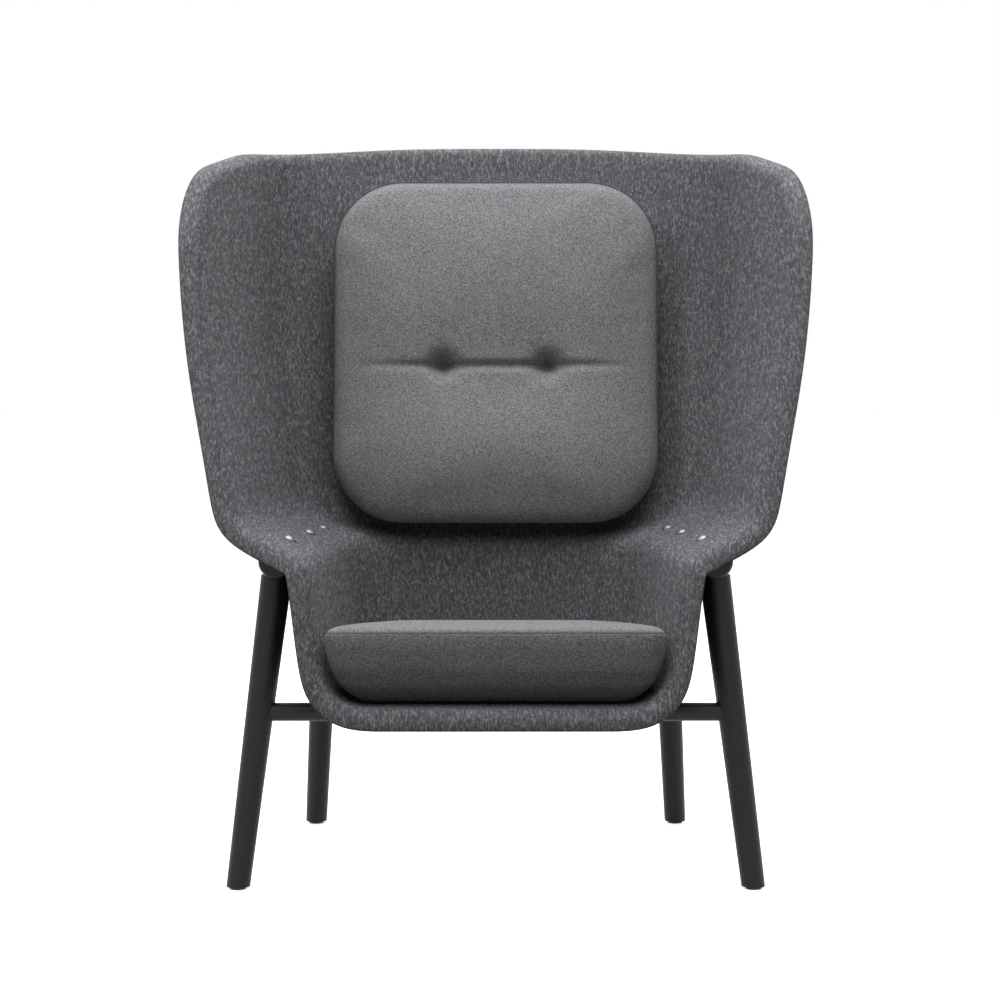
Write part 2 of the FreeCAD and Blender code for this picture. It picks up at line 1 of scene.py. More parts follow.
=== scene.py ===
"""Acoustic high back lounge chair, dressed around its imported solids.

A moulded felt shell with a rolled lip hangs on a round timber frame and holds a
loose seat cushion and a tufted back cushion. Metres, +Z up, the sitter faces -Y.
"""

import logging
import math
from dataclasses import dataclass, field
from enum import Enum
from typing import Callable, Sequence, TypeAlias

import bmesh
import bpy
from bmesh.types import BMesh
from bpy.types import Material, Object
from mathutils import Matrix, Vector


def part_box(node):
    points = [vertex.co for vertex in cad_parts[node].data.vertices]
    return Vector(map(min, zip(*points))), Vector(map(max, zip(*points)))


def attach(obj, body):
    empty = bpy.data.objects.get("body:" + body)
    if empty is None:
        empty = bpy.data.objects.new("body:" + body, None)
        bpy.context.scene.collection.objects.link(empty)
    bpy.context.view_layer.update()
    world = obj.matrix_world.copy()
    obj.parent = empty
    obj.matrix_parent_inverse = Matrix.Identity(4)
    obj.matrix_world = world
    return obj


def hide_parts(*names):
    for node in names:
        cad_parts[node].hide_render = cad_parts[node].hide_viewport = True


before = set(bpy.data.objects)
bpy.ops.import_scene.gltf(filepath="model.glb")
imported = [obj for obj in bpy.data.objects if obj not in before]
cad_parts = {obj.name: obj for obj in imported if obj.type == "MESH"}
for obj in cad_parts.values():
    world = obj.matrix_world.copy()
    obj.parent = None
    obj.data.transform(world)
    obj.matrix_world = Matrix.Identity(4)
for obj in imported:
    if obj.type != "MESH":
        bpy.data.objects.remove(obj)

LOG = logging.getLogger("chair")
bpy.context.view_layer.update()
BODY_FIXED = "chair"
BODY_SEAT = "loose_seat"
MM = 0.001
MERGE = 1e-6
WELD = 1e-5
BLACK, WHITE = (0.0, 0.0, 0.0), (1.0, 1.0, 1.0)

Pair: TypeAlias = tuple[float, float]
Triple: TypeAlias = tuple[float, float, float]
Operand: TypeAlias = "Sock | float"
Tint: TypeAlias = "Sock | Triple"
Value: TypeAlias = "Sock | Triple | float"


# Shader graphs


class Sock:
    """A socket or number in a shader graph, with Python's operators as Math nodes."""

    def __init__(self, graph: "Graph", value: "bpy.types.NodeSocket | float") -> None:
        """Hold a socket, or a plain number.

        Args:
            graph: The graph that new nodes go into.
            value: An output socket or a float.
        """
        self.graph = graph
        self.value = value

    def _math(self, operation: str, *others: Operand, clamp: bool = False) -> "Sock":
        """Math node on this value and others.

        Args:
            operation: The Math node's operation.
            others: Sockets or numbers for its other inputs.
            clamp: Whether the result is held between 0 and 1.

        Returns:
            The node's output.
        """
        settings = {"operation": operation, "use_clamp": clamp}
        return self.graph.node("ShaderNodeMath", settings, [self, *others])

    def __add__(self, other: Operand) -> "Sock":
        """Sum."""
        return self._math("ADD", other)

    def __radd__(self, other: Operand) -> "Sock":
        """Sum, with the number first."""
        return self._math("ADD", other)

    def __sub__(self, other: Operand) -> "Sock":
        """Difference."""
        return self._math("SUBTRACT", other)

    def __rsub__(self, other: Operand) -> "Sock":
        """Difference, with the number first."""
        return Sock(self.graph, other)._math("SUBTRACT", self)

    def __mul__(self, other: Operand) -> "Sock":
        """Product."""
        return self._math("MULTIPLY", other)

    def __rmul__(self, other: Operand) -> "Sock":
        """Product, with the number first."""
        return self._math("MULTIPLY", other)

    def held(self) -> "Sock":
        """This value held between 0 and 1."""
        return self._math("ADD", 0.0, clamp=True)

    def sign(self) -> "Sock":
        """-1, 0 or 1."""
        return self._math("SIGN")


class Graph:
    """The nodes of a material or a world."""

    mix_share, mix_first, mix_second, mix_result = 0, 6, 7, 2

    def __init__(self, owner: Material | bpy.types.World, shader: str) -> None:
        """Start from a new owner's own shader.

        Args:
            owner: The material or world.
            shader: The type of its shader node.
        """
        owner.use_nodes = True
        self.tree = owner.node_tree
        self.shader = next(n for n in self.tree.nodes if n.type == shader)

    def node(
        self, kind: str, settings: dict | None = None,
        values: Sequence | dict | None = None, output: str | int = 0,
    ) -> Sock:
        """Add any node.

        Args:
            kind: The node's type name.
            settings: Its own properties, which are set first.
            values: Sockets or constants, as a list, or as a dict by name or number.
            output: Name or number of the output that is returned.

        Returns:
            One output of the node.
        """
        made = self.tree.nodes.new(kind)
        for key, value in (settings or {}).items():
            setattr(made, key, value)
        pairs = values.items() if isinstance(values, dict) else enumerate(values or [])
        for key, value in pairs:
            self._feed(made.inputs[key], value)
        return Sock(self, made.outputs[output])

    def _feed(self, entry: bpy.types.NodeSocket, value: Value) -> None:
        """Link a socket to an input, or set its constant.

        Args:
            entry: The input.
            value: A socket, a number, a vector or a colour.
        """
        inner = value.value if isinstance(value, Sock) else value
        if isinstance(inner, bpy.types.NodeSocket):
            self.tree.links.new(inner, entry)
        elif hasattr(inner, "__len__") and len(entry.default_value) == 4 and len(inner) == 3:
            entry.default_value = (*inner, 1.0)
        else:
            entry.default_value = inner

    def set(self, **values: Value) -> None:
        """Set or link inputs of the shader; a name's underscores are spaces."""
        for key, value in values.items():
            self._feed(self.shader.inputs[key.replace("_", " ")], value)

    def place(self, kind: str = "Object") -> Sock:
        """Texture coordinates of a kind."""
        return self.node("ShaderNodeTexCoord", output=kind)

    def part_x(self, vector: Sock) -> Sock:
        """X of a vector."""
        return self.node("ShaderNodeSeparateXYZ", None, [vector])

    def scaled(self, vector: Sock, scale: Triple, turn: Triple = (0.0, 0.0, 0.0)) -> Sock:
        """Coordinates stretched, then turned, by a Mapping node."""
        values = {"Vector": vector, "Rotation": turn, "Scale": scale}
        return self.node("ShaderNodeMapping", {"vector_type": "POINT"}, values)

    def noise(self, vector: Sock, scale: float, detail: float = 2.0, rough: float = 0.5) -> Sock:
        """Noise between 0 and 1."""
        values = {"Vector": vector, "Scale": scale, "Detail": detail, "Roughness": rough}
        return self.node("ShaderNodeTexNoise", None, values, "Fac")

    def blend(self, share: Sock, first: Tint, second: Tint) -> Sock:
        """Mix of two colours."""
        values = {self.mix_share: share, self.mix_first: first, self.mix_second: second}
        return self.node("ShaderNodeMix", {"data_type": "RGBA"}, values, self.mix_result)

    def bump(self, height: Sock, depth: float) -> Sock:
        """Bump of a depth in metres."""
        values = {"Height": height, "Distance": depth, "Strength": 1.0}
        return self.node("ShaderNodeBump", None, values)


def seen_share(graph: Graph) -> Sock:
    """1 where the camera, a reflection or a refraction looks, and 0 for other light."""
    kinds = ("Is Camera Ray", "Is Glossy Ray", "Is Transmission Ray")
    straight, glossy, through = (graph.node("ShaderNodeLightPath", output=kind) for kind in kinds)
    return (straight + glossy + through).held()


def stretch(value: Sock, low: float, high: float) -> Sock:
    """Value rescaled so that low is 0 and high is 1, and held there."""
    return ((value - low) * (1.0 / (high - low))).held()


def fresh(name: str) -> tuple[Material, Graph]:
    """New material with one principled shader, and its graph."""
    made = bpy.data.materials.new(name)
    return made, Graph(made, "BSDF_PRINCIPLED")


def toned(tone: Triple, part: float) -> Triple:
    """Colour with each channel times a part."""
    return tuple(channel * part for channel in tone)


# Finishes


def heathered(graph: Graph, cloth: "MouldedFelt | HeatherWool", base: Sock, bright: Sock) -> Sock:
    """Heather of a cloth's three tones.

    Args:
        graph: The material's graph.
        cloth: The finish, which has the tones and their ranges.
        base: Noise between the dark and the middle tone.
        bright: Noise that brings in the light one.

    Returns:
        The colour.
    """
    shade = graph.blend(stretch(base, *cloth.middle_range), cloth.dark, cloth.middle)
    return graph.blend(stretch(bright, *cloth.light_range) * cloth.light_share, shade, cloth.light)


@dataclass(frozen=True)
class MouldedFelt:
    """Grey needle felt, its fibres drawn along the ribs of the mould."""

    dark: Triple = (0.056, 0.055, 0.061)
    middle: Triple = (0.138, 0.137, 0.148)
    light: Triple = (0.37, 0.368, 0.388)
    across: float = 330.0
    along: float = 120.0
    deep: float = 45.0
    fineness: float = 2.3
    patches: float = 26.0
    middle_range: Pair = (0.34, 0.62)
    light_range: Pair = (0.5, 0.7)
    light_share: float = 0.85
    worn_range: Pair = (0.42, 0.8)
    worn_share: float = 0.35
    worn_tone: float = 0.82
    hair_depth: float = 0.0007
    flank_range: Pair = (0.45, 0.75)

    def material(self) -> Material:
        """Build the material.

        Returns:
            Felt with streaks, speckle and a fibre bump.
        """
        made, graph = fresh("moulded_felt")
        cloth = graph.place("UV")
        solid = graph.place("Object")
        outside = self._outward(graph, solid)
        drawn = self._fibres(graph, cloth, solid, outside, 1.0)
        fine = self._fibres(graph, cloth, solid, outside, self.fineness)
        patch = graph.noise(solid, self.patches, detail=3.0, rough=0.55)
        hairs = drawn * 0.6 + fine * 0.4
        shade = heathered(graph, self, hairs, fine * 0.5 + drawn * 0.5)
        worn = stretch(patch, *self.worn_range)
        shade = graph.blend(worn * self.worn_share, shade, toned(self.middle, self.worn_tone))
        graph.set(Base_Color=shade, Roughness=0.95, Normal=graph.bump(hairs, self.hair_depth))
        graph.set(Sheen_Weight=0.08, Sheen_Roughness=0.4, Sheen_Tint=(0.8, 0.8, 0.84))
        graph.set(Specular_IOR_Level=0.1)
        return made

    def _outward(self, graph: Graph, solid: Sock) -> Sock:
        """1 where a face looks away from the chair's middle plane, and 0 within."""
        faced, placed = (graph.part_x(vector) for vector in (graph.place("Normal"), solid))
        return stretch(faced * placed.sign(), *self.flank_range)

    def _fibres(
        self, graph: Graph, cloth: Sock, solid: Sock, outside: Sock, fineness: float
    ) -> Sock:
        """Fibre streaks: along the ribs on the flanks, and upright on the faces within.

        Args:
            graph: The material's graph.
            cloth: Runs along the rim and down the ribs.
            solid: Object coordinates.
            outside: Mask of the flanks.
            fineness: What the streaks' scales are multiplied by.

        Returns:
            Streaks between 0 and 1.
        """
        across, along, deep = (s * fineness for s in (self.across, self.along, self.deep))
        ribs = graph.scaled(cloth, (across, along, 1.0))
        upright = graph.scaled(solid, (across, deep, along))
        flank = graph.noise(ribs, 1.0, detail=3.0, rough=0.6)
        within = graph.noise(upright, 1.0, detail=3.0, rough=0.6)
        return within + (flank - within) * outside


@dataclass(frozen=True)
class HeatherWool:
    """Felted wool upholstery, heathered without a direction."""

    dark: Triple = (0.108, 0.107, 0.113)
    middle: Triple = (0.262, 0.260, 0.273)
    light: Triple = (0.50, 0.497, 0.515)
    grain: float = 400.0
    fineness: float = 2.6
    middle_range: Pair = (0.34, 0.62)
    light_range: Pair = (0.5, 0.74)
    light_share: float = 0.75
    fuzz_depth: float = 0.0008

    def material(self) -> Material:
        """Build the material.

        Returns:
            Wool with a two-tone heather and a fuzzy bump.
        """
        made, graph = fresh("heather_wool")
        solid = graph.place("Object")
        coarse = graph.noise(solid, self.grain, detail=3.0, rough=0.65)
        fine = graph.noise(solid, self.grain * self.fineness)
        shade = heathered(graph, self, coarse, coarse * 0.4 + fine * 0.6)
        fuzz = graph.bump(coarse * 0.6 + fine * 0.4, self.fuzz_depth)
        graph.set(Base_Color=shade, Roughness=0.92, Normal=fuzz)
        graph.set(Sheen_Weight=0.12, Sheen_Roughness=0.4, Sheen_Tint=(0.85, 0.85, 0.88))
        graph.set(Specular_IOR_Level=0.1)
        return made


@dataclass(frozen=True)
class StainedTimber:
    """Black stained timber with a satin lacquer; the grain runs along one axis."""

    name: str
    turn: Triple = (0.0, 0.0, 0.0)
    stain: Triple = (0.009, 0.0088, 0.0092)
    bare: Triple = (0.022, 0.021, 0.021)
    fibre_scale: Triple = (420.0, 420.0, 9.0)
    pore_scale: Triple = (1500.0, 1500.0, 60.0)
    line_range: Pair = (0.35, 0.7)
    bare_share: float = 0.7
    groove_depth: float = 0.00012

    def material(self) -> Material:
        """Build the material.

        Returns:
            Timber whose local Z is the grain's direction after the turn.
        """
        made, graph = fresh(self.name)
        solid = graph.scaled(graph.place("Object"), (1.0, 1.0, 1.0), self.turn)
        fibre = graph.noise(graph.scaled(solid, self.fibre_scale), 1.0, detail=4.0, rough=0.6)
        pore = graph.noise(graph.scaled(solid, self.pore_scale), 1.0)
        lines = stretch(fibre * 0.7 + pore * 0.3, *self.line_range)
        shade = graph.blend(lines * self.bare_share, self.stain, self.bare)
        groove = graph.bump(lines, self.groove_depth)
        graph.set(Base_Color=shade, Roughness=lines * 0.14 + 0.40, Normal=groove)
        graph.set(Specular_IOR_Level=0.25)
        return made


@dataclass(frozen=True)
class SatinMetal:
    """Zinc-plated steel with fine turning marks."""

    tone: Triple = (0.27, 0.27, 0.30)
    dull_tone: float = 0.6
    dull_range: Pair = (0.35, 0.7)
    dull_share: float = 0.5
    marks: float = 900.0
    stains: float = 140.0
    mark_depth: float = 0.00005

    def material(self) -> Material:
        """Build the material.

        Returns:
            Steel with marks in its roughness and bump.
        """
        made, graph = fresh("satin_steel")
        solid = graph.place("Object")
        marks = graph.noise(solid, self.marks, detail=3.0, rough=0.6)
        dull = stretch(graph.noise(solid, self.stains), *self.dull_range)
        shade = graph.blend(dull * self.dull_share, self.tone, toned(self.tone, self.dull_tone))
        cut = graph.bump(marks, self.mark_depth)
        graph.set(Base_Color=shade, Metallic=1.0, Roughness=marks * 0.2 + 0.36, Normal=cut)
        return made


class Plain(Enum):
    """Dull finishes that differ only in name, colour, grain and roughness."""

    NYLON = ("black_nylon", (0.018, 0.018, 0.018), 900.0, 0.5)
    TAPE = ("woven_tape", (0.022, 0.022, 0.023), 1400.0, 0.9)
    RUBBER = ("solid_rubber", (0.015, 0.015, 0.015), 600.0, 0.75)
    THREAD = ("waxed_thread", (0.055, 0.055, 0.058), 1800.0, 0.8)

    def material(self) -> Material:
        """Build the material from the option's values.

        Returns:
            The finish with a fine speck in its tone, roughness and bump.
        """
        name, tone, grain, dullness = self.value
        made, graph = fresh(name)
        speck = graph.noise(graph.place("Object"), grain, detail=3.0, rough=0.6)
        shade = graph.blend(stretch(speck, 0.35, 0.7), toned(tone, 0.7), toned(tone, 1.5))
        dull = speck * 0.2 + (dullness - 0.1)
        graph.set(Base_Color=shade, Roughness=dull, Normal=graph.bump(speck, depth=0.00015))
        return made


# Plain maths


def ease(x: float) -> float:
    """Rise from 0 to 1 with level ends."""
    return 0.5 - 0.5 * math.cos(math.pi * x)


def mix(a: Vector | float, b: Vector | float, w: float) -> Vector | float:
    """Point or number a fraction w of the way from a to b."""
    return a + (b - a) * w


def fall(distance: float, reach: float) -> float:
    """Bell that is 1 at distance 0 and dies out past the reach."""
    return math.exp(-((distance / reach) ** 2))


def unit(x: float) -> float:
    """Number held between 0 and 1."""
    return min(max(x, 0.0), 1.0)


# Meshes


def sheet_of(bm: BMesh, rows: Sequence[Sequence[Vector]]) -> list:
    """Grid whose points lie on rows of points.

    Args:
        bm: The mesh that gets the grid.
        rows: Rows of equal length.

    Returns:
        The grid's vertices, row after row.
    """
    across = len(rows[0])
    made = bmesh.ops.create_grid(bm, x_segments=across - 1, y_segments=len(rows) - 1, size=1.0)
    for number, vert in enumerate(made["verts"]):
        vert.co = rows[number // across][number % across]
    return made["verts"]


def tube_of(rings: Sequence[Sequence[Vector]], joined: bool = False) -> BMesh:
    """Closed form through rings of points.

    Args:
        rings: Rings of equal length, each without its first point repeated.
        joined: Whether the last ring meets the first, instead of two caps.

    Returns:
        A new mesh with its faces outwards.
    """
    bm = bmesh.new()
    rows = [list(ring) + [ring[0]] for ring in rings]
    if joined:
        rows.append(rows[0])
    sheet_of(bm, rows)
    bmesh.ops.remove_doubles(bm, verts=bm.verts, dist=MERGE)
    if not joined:
        bmesh.ops.holes_fill(bm, edges=[e for e in bm.edges if e.is_boundary], sides=0)
    bmesh.ops.recalc_face_normals(bm, faces=bm.faces)
    return bm


def rounded(corners: Sequence[Vector], radii: Sequence[float], arc: int, side: int) -> list:
    """Points round a polygon with rounded corners.

    Args:
        corners: The polygon's corners, in order, in one plane.
        radii: One radius for each corner.
        arc: Steps in each corner's arc.
        side: Steps in each straight side.

    Returns:
        The outline's points, without the first repeated.
    """
    count = len(corners)
    arcs = []
    for i in range(count):
        before = (corners[i - 1] - corners[i]).normalized()
        after = (corners[(i + 1) % count] - corners[i]).normalized()
        half = before.angle(after) / 2
        centre = corners[i] + (before + after).normalized() * (radii[i] / math.sin(half))
        reach = radii[i] / math.tan(half)
        start = corners[i] + before * reach - centre
        end = corners[i] + after * reach - centre
        turn = start.angle(end)
        points = []
        for step in range(arc + 1):
            w = step / arc
            arm = start * math.sin((1 - w) * turn) + end * math.sin(w * turn)
            points.append(centre + arm / math.sin(turn))
        arcs.append(points)
    outline = []
    for i in range(count):
        outline += arcs[i]
        ahead = arcs[(i + 1) % count][0]
        outline += [arcs[i][-1].lerp(ahead, step / side) for step in range(1, side)]
    return outline


def shown(name: str, data: "BMesh | bpy.types.ID") -> Object:
    """Make an object and link it to the scene.

    Args:
        name: Its name.
        data: A lamp, a camera, or a working mesh, which is used up.

    Returns:
        The object.
    """
    if isinstance(data, BMesh):
        mesh = bpy.data.meshes.new(name)
        data.to_mesh(mesh)
        data.free()
        data = mesh
    obj = bpy.data.objects.new(name, data)
    bpy.context.scene.collection.objects.link(obj)
    return obj


def smoothen(mesh: bpy.types.Mesh) -> None:
    """Shade all faces smooth."""
    mesh.polygons.foreach_set("use_smooth", [True] * len(mesh.polygons))


def piece(
    name: str, bm: BMesh, finish: Material, body: str
) -> Object:
    """Make a finished object of a mesh.

    Args:
        name: The piece's name.
        bm: Its mesh, which is used up.
        finish: Its material.
        body: The body that it rides on.

    Returns:
        The new object, at the origin.
    """
    obj = shown(name, bm)
    smoothen(obj.data)
    obj.data.materials.append(finish)
    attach(obj, body)
    LOG.info("%s: %d faces on %s", name, len(obj.data.polygons), body)
    return obj


def settle(obj: Object) -> None:
    """Replace an object's mesh by what its modifiers make of it.

    Args:
        obj: The object, which loses its modifiers.
    """
    graph = bpy.context.evaluated_depsgraph_get()
    made = bpy.data.meshes.new_from_object(obj.evaluated_get(graph), depsgraph=graph)
    obj.modifiers.clear()
    obj.data = made


# The moulded shell


@dataclass
class Bow:
    """A U seen from above: straight back, round corner, straight side.

    It is given by its front end, the corner where its back and side would meet, the
    height of its middle or None in the pan's plane, and its corner's radius.
    """

    back_end = 0.28
    corner_end = 0.56

    front: Vector
    corner: Vector
    middle_z: float | None
    radius: float
    pan_z: Callable

    def __post_init__(self) -> None:
        """Work out the side's direction and the corner's turn."""
        run = self.front - self.corner
        self.side = Vector((run.x, run.y, 0)).normalized()
        self.turn = math.acos(self.side.x)
        self.tangent = self.radius * math.tan(self.turn / 2)

    def at(self, u: float) -> Vector:
        """Point of the U.

        Args:
            u: From 0 at the middle of the back to 1 in front.

        Returns:
            The point, with the front feet at Y 0.
        """
        corner = self.corner
        z = corner.z
        if u <= self.back_end:
            x = (corner.x - self.tangent) * u / self.back_end
            y = corner.y
        elif u <= self.corner_end:
            angle = self.turn * (u - self.back_end) / (self.corner_end - self.back_end)
            x = corner.x - self.tangent + self.radius * math.sin(angle)
            y = corner.y - self.radius * (1 - math.cos(angle))
        else:
            share = (u - self.corner_end) / (1 - self.corner_end)
            run = math.hypot(self.front.x - corner.x, self.front.y - corner.y)
            reach = mix(self.tangent, run, share)
            x = corner.x + self.side.x * reach
            y = corner.y + self.side.y * reach
            z = mix(corner.z, self.front.z, share)
        if self.middle_z is None:
            z = self.pan_z(y)
        elif u < self.corner_end:
            z = mix(self.middle_z, corner.z, ease(u / self.corner_end) ** 2)
        return Vector((x, y, z))


@dataclass
class FeltShell:
    """Moulded felt shell: pan, tub, ledge, wings and the lip rolled round them.

    The tub, the ledge and the top are each given by the front end's depth and half
    width, and then by the rear corner's half width and depth.
    """

    wall: float = 9.0 * MM
    lip_radius: float = 22.0 * MM
    lip_turn: float = math.radians(88.0)
    lip_flat: float = 9.0 * MM
    lip_flat_shares: Pair = (0.5, 1.0)
    pan_front: Pair = (-108.0 * MM, 290.0 * MM)
    pan_slope: float = math.radians(0.5)
    pan_back_y: float = 440.0 * MM
    pan_halves: Pair = (250.0 * MM, 222.0 * MM)
    pan_bend_inset: float = 26.0 * MM
    bends: Triple = (60.0 * MM, 40.0 * MM, 62.0 * MM)
    tub: tuple[float, ...] = (-60.0 * MM, 278.0 * MM, 226.0 * MM, 456.0 * MM)
    tub_top_z: float = 503.0 * MM
    tub_dip: float = 24.0 * MM
    ledge: tuple[float, ...] = (-10.0 * MM, 389.0 * MM, 330.0 * MM, 496.0 * MM)
    ledge_rises: Pair = (51.0 * MM, 34.0 * MM)
    top: tuple[float, ...] = (165.0 * MM, 464.0 * MM, 362.0 * MM, 586.0 * MM)
    top_z: Triple = (1068.0 * MM, 1120.0 * MM, 1138.0 * MM)
    wing_bulge: float = 12.0 * MM
    corner_radii: Pair = (120.0 * MM, 165.0 * MM)
    bend_shares: tuple[Pair, ...] = ((0.06, 0.24), (0.34, 0.48), (0.54, 0.68))
    rib_feet_u: tuple[float, ...] = (0.965, 0.88, 0.74, 0.64)
    rib_foot_v: float = -0.42
    wing_corner: Pair = (0.82, 0.93)
    rib_counts: tuple[int, ...] = (4, 13, 5, 6, 10)
    rib_steps: int = 20
    lip_steps: int = 4
    smoothing: int = 2
    flat_v: float = 0.03
    normal_step: float = 0.002
    level_step: float = 0.01
    rim_gaps: Triple = (0.012, 0.001, 0.002)
    bows: list[Bow] = field(default_factory=list)
    foot_line: float = 0.0

    def __post_init__(self) -> None:
        """Set out the five bows that the wall runs through."""
        low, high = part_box("right_front_glide")
        self.foot_line = (low.y + high.y) / 2
        inset = self.bends[0] + self.pan_bend_inset
        slow, fast = self.corner_radii
        pan_y, pan_z = self.pan_front
        front, back = self.pan_halves
        tub_z, dip_z = self.tub_top_z, self.tub_top_z - self.tub_dip
        front_z, back_z, middle_z = self.top_z
        rise_front, rise_back = self.ledge_rises
        inner_y = self.pan_back_y - inset
        tub_y, tub_x, tub_back_x, tub_back_y = self.tub
        ledge_y, ledge_x, ledge_back_x, ledge_back_y = self.ledge
        top_y, top_x, top_back_x, top_back_y = self.top
        outlines = (
            ((front - inset, pan_y, pan_z), (back - inset, inner_y, pan_z), None, slow / 2),
            ((front, pan_y, pan_z), (back, self.pan_back_y, pan_z), None, slow),
            ((tub_x, tub_y, tub_z), (tub_back_x, tub_back_y, tub_z), dip_z, slow),
            ((ledge_x, ledge_y, tub_z + rise_front),
             (ledge_back_x, ledge_back_y, tub_z + rise_back), dip_z + rise_back, slow),
            ((top_x, top_y, front_z), (top_back_x, top_back_y, back_z), middle_z, fast),
        )
        for end, corner, middle, radius in outlines:
            self.bows.append(Bow(Vector(end), Vector(corner), middle, radius, self.pan_z))

    def pan_z(self, y: float) -> float:
        """Height of the pan's upper face at a depth."""
        return self.pan_front[1] - math.tan(self.pan_slope) * (y - self.pan_front[0])

    def at(self, u: float, v: float) -> Vector:
        """Point of the inner face.

        Args:
            u: From 0 at the middle of the back to 1 in front.
            v: From -1 on the pan's centre line, past 0, to 1 at the top edge.

        Returns:
            The point, with the front feet at Y 0.
        """
        start = self.bows[0].at(u)
        if v < 0:
            return Vector((start.x * (1 + v), start.y, start.z))
        nodes = [bow.at(u) for bow in self.bows]
        last_share, last_point = 0.0, start
        for number, (share_in, share_out) in enumerate(self.bend_shares):
            corner, radius = nodes[number + 1], self.bends[number]
            ahead = (corner - nodes[number]).normalized()
            onward = (nodes[number + 2] - corner).normalized()
            turn = ahead.angle(onward)
            entry = corner - ahead * (radius * math.tan(turn / 2))
            sideways = (onward - ahead * math.cos(turn)).normalized()
            if v <= share_in:
                return mix(last_point, entry, (v - last_share) / (share_in - last_share))
            part = min((v - share_in) / (share_out - share_in), 1.0) * turn
            point = entry + (ahead * math.sin(part) + sideways * (1 - math.cos(part))) * radius
            if v <= share_out:
                return point
            last_share, last_point = share_out, point
        share = (v - last_share) / (1 - last_share)
        return mix(last_point, nodes[-1], share) + self._bulge(u, share)

    def _bulge(self, u: float, share: float) -> Vector:
        """Level shift of the wing, out of the straight line to its top.

        Args:
            u: The measure along the bows.
            share: From 0 at the last bend to 1 at the top edge.

        Returns:
            The shift.
        """
        near = min(u + self.level_step, 1.0)
        level = self.bows[-1].at(near) - self.bows[-1].at(near - self.level_step)
        outward = Vector((-level.y, level.x, 0)).normalized()
        on_wing = unit((u - Bow.back_end) / (Bow.corner_end - Bow.back_end))
        return outward * (self.wing_bulge * ease(on_wing) * 16 * (share * (1 - share)) ** 2)

    def normal(self, u: float, v: float) -> Vector:
        """Unit vector away from the sitter.

        Args:
            u: The measure along the bows.
            v: The measure up the wall.

        Returns:
            The normal of the inner face.
        """
        if v < self.flat_v:
            return Vector((0, -math.sin(self.pan_slope), -math.cos(self.pan_slope)))
        step = self.normal_step
        high_v = min(v + step, 1.0)
        across = self.at(min(u + step, 1.0), v) - self.at(max(u - step, 0.0), v)
        upward = self.at(u, high_v) - self.at(u, high_v - 2 * step)
        made = upward.cross(across).normalized()
        return Vector((0, made.y, made.z)).normalized() if u == 0.0 else made

    def stations(self) -> list[tuple[Pair, Pair]]:
        """Measures of each rib's start on the pan and its end on the rim.

        Returns:
            Pairs of (u, v), from the middle of the front edge, round the wing's top
            corner, to the middle of the back.
        """
        pan_u, fan_u, wing_u, turn_u = self.rib_feet_u
        corner_u, corner_v = self.wing_corner
        ledge_v = self.bend_shares[-1][1]
        pan, fan, wing, turn, top = self.rib_counts
        made = []
        for i in range(pan):
            foot = (pan_u, mix(-1, self.rib_foot_v, i / pan))
            made.append((foot, (1.0, mix(-1, 0, i / pan))))
        for i in range(fan):
            a = i / fan * math.pi / 2
            foot = (mix(pan_u, fan_u, 1 - math.cos(a)), mix(self.rib_foot_v, 0, math.sin(a)))
            made.append((foot, (1.0, mix(0, ledge_v, i / fan))))
        for i in range(wing):
            end = (1.0, mix(ledge_v, corner_v, i / wing))
            made.append(((mix(fan_u, wing_u, i / wing), 0.0), end))
        for i in range(turn):
            a = i / turn * math.pi / 2
            end = (mix(corner_u, 1.0, math.cos(a)), mix(corner_v, 1.0, math.sin(a)))
            made.append(((mix(wing_u, turn_u, i / turn), 0.0), end))
        for i in range(top + 1):
            made.append(((mix(turn_u, 0, i / top), 0.0), (mix(corner_u, 0, i / top), 1.0)))
        return made

    def rim(self, stations: list[tuple[Pair, Pair]], number: int) -> Vector:
        """Rim point of a station, mirrored past either end of the list.

        Args:
            stations: All stations.
            number: The station's number, from -1 to one past the last.

        Returns:
            The point.
        """
        last = len(stations) - 1
        inside = 2 * last - number if number > last else abs(number)
        point = self.at(*stations[inside][1])
        if inside != number:
            point.x = -point.x
        return point

    def _lip(self, end: Vector, normal: Vector, along: Vector) -> tuple[list, list]:
        """Lip that follows on a rib.

        Args:
            end: The rib's last point on the inner face.
            normal: Unit vector away from the sitter there.
            along: Unit vector along the rim.

        Returns:
            The lip's points on the inner and on the outer face.
        """
        away = normal.cross(along).normalized()
        centre = end + normal * self.lip_radius
        inner_radius = self.lip_radius - self.wall
        inner, outer = [], []
        for j in range(1, self.lip_steps + 1):
            angle = self.lip_turn * j / self.lip_steps
            arm = away * math.sin(angle) - normal * math.cos(angle)
            inner.append(centre + arm * self.lip_radius)
            outer.append(centre + arm * inner_radius)
        onward = away * math.cos(angle) + normal * math.sin(angle)
        for share in self.lip_flat_shares:
            inner.append(centre + arm * self.lip_radius + onward * (self.lip_flat * share))
            outer.append(centre + arm * inner_radius + onward * (self.lip_flat * share))
        return inner, outer

